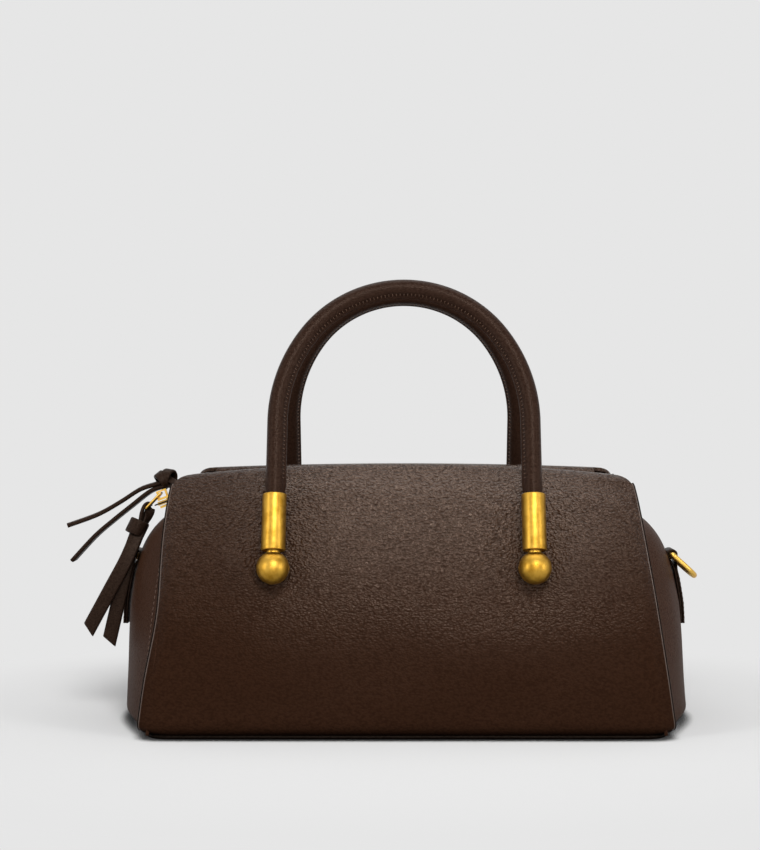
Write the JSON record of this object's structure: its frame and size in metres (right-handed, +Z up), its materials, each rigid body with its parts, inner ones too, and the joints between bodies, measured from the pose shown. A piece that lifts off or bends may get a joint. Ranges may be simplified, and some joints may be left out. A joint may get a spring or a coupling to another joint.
{
  "type": "top handle bag",
  "caption": "Structured leather top handle bag with zip mouth, tube handles on brass ball ends, knotted zip pulls and a D-ring at each end.",
  "frame": {"origin": "centre of the underside of the base", "axes": "+X to the right along the bag, +Y from front to rear, +Z up"},
  "size_m": [0.3393, 0.1578, 0.2313],
  "materials": {
    "pebbled_leather": "fine pebble grain, dark brown",
    "smooth_leather": "fine grain, dark brown",
    "brass": "brushed antique gold",
    "zip_tape": "woven tape",
    "lining_fabric": "woven twill",
    "board": "pressed board",
    "rope": "twisted cotton",
    "steel": "turned"
  },
  "bodies": {
    "bag_body": {"base_panel": "pebbled_leather", "front_panel": "pebbled_leather", "rear_panel": "pebbled_leather", "front_facing": "pebbled_leather", "rear_facing": "pebbled_leather", "left_gusset": "pebbled_leather", "right_gusset": "pebbled_leather", "left_top_end": "pebbled_leather", "right_top_end": "pebbled_leather", "left_d_tab": "pebbled_leather", "right_d_tab": "pebbled_leather", "base_board": "board", "lining": "lining_fabric", "left_zip_end_tape": "zip_tape", "right_zip_end_tape": "zip_tape", "left_zip_end_teeth": "brass", "right_zip_end_teeth": "brass", "zip_stops": "brass", "handle_studs": "steel", "stud_washers": "steel", "stud_nuts": "steel"},
    "front_mouth": {"front_zip_strip": "pebbled_leather", "front_zip_tape": "zip_tape", "front_zip_teeth": "brass"},
    "rear_mouth": {"rear_zip_strip": "pebbled_leather", "rear_zip_tape": "zip_tape", "rear_zip_teeth": "brass"},
    "upper_slider": {"upper_slider": "brass"},
    "upper_puller": {"upper_puller": "brass"},
    "upper_pull": {"upper_pull_knot": "smooth_leather", "upper_pull_tails": "smooth_leather"},
    "lower_slider": {"lower_slider": "brass"},
    "lower_puller": {"lower_puller": "brass"},
    "lower_pull": {"lower_pull_knot": "smooth_leather", "lower_pull_tails": "smooth_leather"},
    "front_handle": {"front_handle_cover": "pebbled_leather", "front_handle_core": "rope", "front_handle_pins": "steel", "front_left_ferrule": "brass", "front_left_ball": "brass", "front_right_ferrule": "brass", "front_right_ball": "brass"},
    "rear_handle": {"rear_handle_cover": "pebbled_leather", "rear_handle_core": "rope", "rear_handle_pins": "steel", "rear_left_ferrule": "brass", "rear_left_ball": "brass", "rear_right_ferrule": "brass", "rear_right_ball": "brass"},
    "left_ring": {"left_d_ring": "brass"},
    "right_ring": {"right_d_ring": "brass"}
  },
  "joints": [
    {"name": "front_mouth_open", "type": "hinge", "parent": "bag_body", "child": "front_mouth", "pos_m": [0, -0.03, 0.119], "axis": [1, 0, 0], "range_deg": [0, 80]},
    {"name": "rear_mouth_open", "type": "hinge", "parent": "bag_body", "child": "rear_mouth", "pos_m": [0, 0.03, 0.119], "axis": [-1, 0, 0], "range_deg": [0, 80]},
    {"name": "front_handle_swing", "type": "hinge", "parent": "bag_body", "child": "front_handle", "pos_m": [0, -0.07077, 0.0855], "axis": [1, 0, 0], "range_deg": [0, 60]},
    {"name": "rear_handle_swing", "type": "hinge", "parent": "bag_body", "child": "rear_handle", "pos_m": [0, 0.07077, 0.0855], "axis": [-1, 0, 0], "range_deg": [0, 60]},
    {"name": "upper_slide", "type": "slide", "parent": "bag_body", "child": "upper_slider", "axis": [1, 0, 0], "range_m": [0, 0.22], "deforming": ["upper_pull_tails"]},
    {"name": "upper_puller_swing", "type": "hinge", "parent": "upper_slider", "child": "upper_puller", "pos_m": [-0.1124, 0, 0.1227], "axis": [0, 1, 0], "range_deg": [0, 100]},
    {"name": "upper_pull_swing", "type": "hinge", "parent": "upper_puller", "child": "upper_pull", "pos_m": [-0.1234, 0, 0.1227], "axis": [0, 1, 0], "range_deg": [0, 60]},
    {"name": "lower_slide", "type": "slide", "parent": "bag_body", "child": "lower_slider", "axis": [0.9397, 0, 0.342], "range_m": [0, 0.002], "deforming": ["lower_pull_tails"]},
    {"name": "lower_puller_swing", "type": "hinge", "parent": "lower_slider", "child": "lower_puller", "pos_m": [-0.13133, 0, 0.11816], "axis": [0, 1, 0], "range_deg": [0, 80]},
    {"name": "lower_pull_swing", "type": "hinge", "parent": "lower_puller", "child": "lower_pull", "pos_m": [-0.13897, 0, 0.11025], "axis": [0, 1, 0], "range_deg": [0, 60]},
    {"name": "left_ring_swing", "type": "hinge", "parent": "bag_body", "child": "left_ring", "pos_m": [-0.14375, 0, 0.0855], "axis": [0, 1, 0], "range_deg": [-15, 50]},
    {"name": "right_ring_swing", "type": "hinge", "parent": "bag_body", "child": "right_ring", "pos_m": [0.14375, 0, 0.0855], "axis": [0, -1, 0], "range_deg": [-15, 110]}
  ]
}
